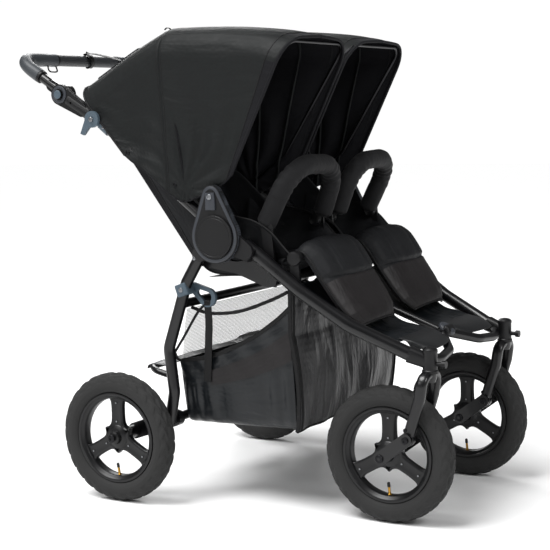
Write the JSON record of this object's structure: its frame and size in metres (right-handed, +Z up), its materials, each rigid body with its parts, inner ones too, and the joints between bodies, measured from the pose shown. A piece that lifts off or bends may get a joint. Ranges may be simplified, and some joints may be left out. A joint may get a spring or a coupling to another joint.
{
  "type": "double jogging stroller",
  "caption": "Side-by-side double jogging stroller: folding tube frame, air-filled wheels, swivelling front forks, hooped canopies, padded seats, bumper bars and an under-seat basket.",
  "frame": {"origin": "on the ground under the middle of the whole object", "axes": "+Z up, the stroller faces -Y, +X towards the rider's left"},
  "size_m": [0.76, 1.173, 1.136],
  "materials": {
    "frame_black": "satin powder coat",
    "moulded_black": "fine grain",
    "moulded_charcoal": "satin",
    "moulded_slate": "fine grain",
    "pin_steel": "blackened",
    "grip_foam": "smooth foam",
    "canopy_cloth": "plain weave",
    "seat_cloth": "padded plain weave",
    "coated_cloth": "coated, slight sheen",
    "tyre_rubber": "moulded tread",
    "rim_nylon": "satin moulding"
  },
  "bodies": {
    "chassis": {"side_tubes": "frame_black", "front_tube": "frame_black", "middle_joint": "moulded_black", "middle_tube": "frame_black", "seat_frame": "frame_black", "hub_housings": "moulded_charcoal", "hub_covers": "moulded_black", "caster_housings": "moulded_black", "calf_hinges": "moulded_black", "bumper_sockets": "moulded_black", "seat_base_right": "seat_cloth", "seat_base_left": "seat_cloth", "foot_panel_right": "coated_cloth", "foot_panel_left": "coated_cloth", "basket": "coated_cloth"},
    "rear_legs": {"rear_legs": "frame_black", "rear_cross_tubes": "frame_black", "basket_rear_bar": "frame_black", "leg_brackets": "moulded_slate"},
    "fold_latch": {"fold_latch": "moulded_slate"},
    "brake_pedal": {"brake_pedal": "moulded_black"},
    "upright": {"uprights": "frame_black", "back_bar": "frame_black", "handle_knuckles": "moulded_black", "lever_mounts": "moulded_slate", "canopy_right": "canopy_cloth", "canopy_left": "canopy_cloth"},
    "handlebar": {"handlebar": "frame_black", "hand_grips": "grip_foam", "bar_wrap": "moulded_black"},
    "back_hinge": {"recline_rods": "pin_steel"},
    "canopy_hinges": {"canopy_hinges": "pin_steel"},
    "tilt_button_right": {"tilt_button_right": "moulded_black"},
    "fold_lever_right": {"fold_lever_right": "moulded_slate"},
    "seat_back_right": {"seat_back_right": "seat_cloth"},
    "canopy_bow_right": {"canopy_bow_right": "pin_steel"},
    "bumper_bar_right": {"bumper_bar_right": "seat_cloth"},
    "calf_rest_right": {"calf_rest_right": "seat_cloth"},
    "fork_right": {"fork_right": "frame_black"},
    "front_arm_right": {"front_arm_right": "frame_black"},
    "rear_arm_right": {"rear_arm_right": "frame_black"},
    "swivel_knob_right": {"swivel_knob_right": "moulded_black"},
    "front_wheel_right": {"front_tyre_right": "tyre_rubber", "front_rim_right": "rim_nylon"},
    "rear_wheel_right": {"rear_tyre_right": "tyre_rubber", "rear_rim_right": "rim_nylon"},
    "tilt_button_left": {"tilt_button_left": "moulded_black"},
    "fold_lever_left": {"fold_lever_left": "moulded_slate"},
    "seat_back_left": {"seat_back_left": "seat_cloth"},
    "canopy_bow_left": {"canopy_bow_left": "pin_steel"},
    "bumper_bar_left": {"bumper_bar_left": "seat_cloth"},
    "calf_rest_left": {"calf_rest_left": "seat_cloth"},
    "fork_left": {"fork_left": "frame_black"},
    "front_arm_left": {"front_arm_left": "frame_black"},
    "rear_arm_left": {"rear_arm_left": "frame_black"},
    "swivel_knob_left": {"swivel_knob_left": "moulded_black"},
    "front_wheel_left": {"front_tyre_left": "tyre_rubber", "front_rim_left": "rim_nylon"},
    "rear_wheel_left": {"rear_tyre_left": "tyre_rubber", "rear_rim_left": "rim_nylon"}
  },
  "joints": [
    {"name": "handle_fold", "type": "hinge", "parent": "chassis", "child": "upright", "pos_m": [0, -0.037, 0.65], "axis": [1, 0, 0], "range_deg": [0, 108], "deforming": ["canopy_right", "canopy_left", "basket"]},
    {"name": "leg_fold", "type": "hinge", "parent": "chassis", "child": "rear_legs", "pos_m": [0, -0.037, 0.65], "axis": [1, 0, 0], "range_deg": [-32.4, 0], "deforming": ["basket"]},
    {"name": "back_fold", "type": "hinge", "parent": "chassis", "child": "back_hinge", "pos_m": [0, 0.045, 0.588], "axis": [1, 0, 0], "range_deg": [0, 54]},
    {"name": "canopy_fold", "type": "hinge", "parent": "upright", "child": "canopy_hinges", "pos_m": [0, 0.054, 0.757], "axis": [1, 0, 0], "range_deg": [-42.12, 0], "deforming": ["canopy_right", "canopy_left"]},
    {"name": "handle_tilt", "type": "hinge", "parent": "upright", "child": "handlebar", "pos_m": [0, 0.416, 0.987], "axis": [1, 0, 0], "range_deg": [-40, 40]},
    {"name": "latch_turn", "type": "hinge", "parent": "rear_legs", "child": "fold_latch", "pos_m": [-0.2815, 0.062, 0.524], "axis": [1, 0, 0], "range_deg": [-10, 20]},
    {"name": "brake_press", "type": "hinge", "parent": "rear_legs", "child": "brake_pedal", "pos_m": [0, 0.13, 0.198], "axis": [1, 0, 0], "range_deg": [-12, 12]},
    {"name": "recline_right", "type": "hinge", "parent": "back_hinge", "child": "seat_back_right", "pos_m": [-0.15, 0.045, 0.588], "axis": [1, 0, 0], "range_deg": [0, 26]},
    {"name": "canopy_slide_right", "type": "hinge", "parent": "canopy_hinges", "child": "canopy_bow_right", "pos_m": [-0.157, 0.054, 0.757], "axis": [1, 0, 0], "range_deg": [-45, 0], "deforming": ["canopy_right"]},
    {"name": "bumper_fold_right", "type": "hinge", "parent": "chassis", "child": "bumper_bar_right", "pos_m": [-0.1525, -0.14, 0.67], "axis": [1, 0, 0], "range_deg": [0, 61.56]},
    {"name": "calf_lift_right", "type": "hinge", "parent": "chassis", "child": "calf_rest_right", "pos_m": [-0.15, -0.216, 0.6], "axis": [1, 0, 0], "range_deg": [-40, 0]},
    {"name": "tilt_press_right", "type": "slide", "parent": "handlebar", "child": "tilt_button_right", "axis": [1, 0, 0], "range_m": [0, 0.003], "stiffness_N_per_m": 400},
    {"name": "lever_pull_right", "type": "hinge", "parent": "upright", "child": "fold_lever_right", "pos_m": [-0.326, 0.311, 0.925], "axis": [1, 0, 0], "range_deg": [0, 20]},
    {"name": "lock_pull_right", "type": "slide", "parent": "chassis", "child": "swivel_knob_right", "axis": [0, -1, 0], "range_m": [0, 0.006]},
    {"name": "swivel_right", "type": "hinge", "parent": "chassis", "child": "fork_right", "pos_m": [-0.232, -0.525, 0.38], "axis": [0, 0, 1], "continuous": true},
    {"name": "front_spring_right", "type": "hinge", "parent": "fork_right", "child": "front_arm_right", "pos_m": [-0.232, -0.487, 0.205], "axis": [1, 0, 0], "range_deg": [-8, 10]},
    {"name": "front_spin_right", "type": "hinge", "parent": "front_arm_right", "child": "front_wheel_right", "pos_m": [-0.232, -0.424, 0.1575], "axis": [1, 0, 0], "continuous": true},
    {"name": "rear_spring_right", "type": "hinge", "parent": "rear_legs", "child": "rear_arm_right", "pos_m": [-0.273, 0.13, 0.198], "axis": [1, 0, 0], "range_deg": [-6, 8]},
    {"name": "rear_spin_right", "type": "hinge", "parent": "rear_arm_right", "child": "rear_wheel_right", "pos_m": [-0.349, 0.247, 0.1575], "axis": [1, 0, 0], "continuous": true},
    {"name": "recline_left", "type": "hinge", "parent": "back_hinge", "child": "seat_back_left", "pos_m": [0.15, 0.045, 0.588], "axis": [1, 0, 0], "range_deg": [0, 26]},
    {"name": "canopy_slide_left", "type": "hinge", "parent": "canopy_hinges", "child": "canopy_bow_left", "pos_m": [0.157, 0.054, 0.757], "axis": [1, 0, 0], "range_deg": [-45, 0], "deforming": ["canopy_left"]},
    {"name": "bumper_fold_left", "type": "hinge", "parent": "chassis", "child": "bumper_bar_left", "pos_m": [0.1525, -0.14, 0.67], "axis": [1, 0, 0], "range_deg": [0, 61.56]},
    {"name": "calf_lift_left", "type": "hinge", "parent": "chassis", "child": "calf_rest_left", "pos_m": [0.15, -0.216, 0.6], "axis": [1, 0, 0], "range_deg": [-40, 0]},
    {"name": "tilt_press_left", "type": "slide", "parent": "handlebar", "child": "tilt_button_left", "axis": [-1, 0, 0], "range_m": [0, 0.003], "stiffness_N_per_m": 400},
    {"name": "lever_pull_left", "type": "hinge", "parent": "upright", "child": "fold_lever_left", "pos_m": [0.326, 0.311, 0.925], "axis": [1, 0, 0], "range_deg": [0, 20]},
    {"name": "lock_pull_left", "type": "slide", "parent": "chassis", "child": "swivel_knob_left", "axis": [0, -1, 0], "range_m": [0, 0.006]},
    {"name": "swivel_left", "type": "hinge", "parent": "chassis", "child": "fork_left", "pos_m": [0.232, -0.525, 0.38], "axis": [0, 0, 1], "continuous": true},
    {"name": "front_spring_left", "type": "hinge", "parent": "fork_left", "child": "front_arm_left", "pos_m": [0.232, -0.487, 0.205], "axis": [1, 0, 0], "range_deg": [-8, 10]},
    {"name": "front_spin_left", "type": "hinge", "parent": "front_arm_left", "child": "front_wheel_left", "pos_m": [0.232, -0.424, 0.1575], "axis": [1, 0, 0], "continuous": true},
    {"name": "rear_spring_left", "type": "hinge", "parent": "rear_legs", "child": "rear_arm_left", "pos_m": [0.273, 0.13, 0.198], "axis": [1, 0, 0], "range_deg": [-6, 8]},
    {"name": "rear_spin_left", "type": "hinge", "parent": "rear_arm_left", "child": "rear_wheel_left", "pos_m": [0.349, 0.247, 0.1575], "axis": [1, 0, 0], "continuous": true}
  ],
  "couplings": [
    {"joint": "leg_fold", "follows": "handle_fold", "ratio": -0.3},
    {"joint": "back_fold", "follows": "handle_fold", "ratio": 0.5},
    {"joint": "canopy_fold", "follows": "handle_fold", "ratio": -0.39},
    {"joint": "bumper_fold_right", "follows": "handle_fold", "ratio": 0.57},
    {"joint": "bumper_fold_left", "follows": "handle_fold", "ratio": 0.57}
  ]
}
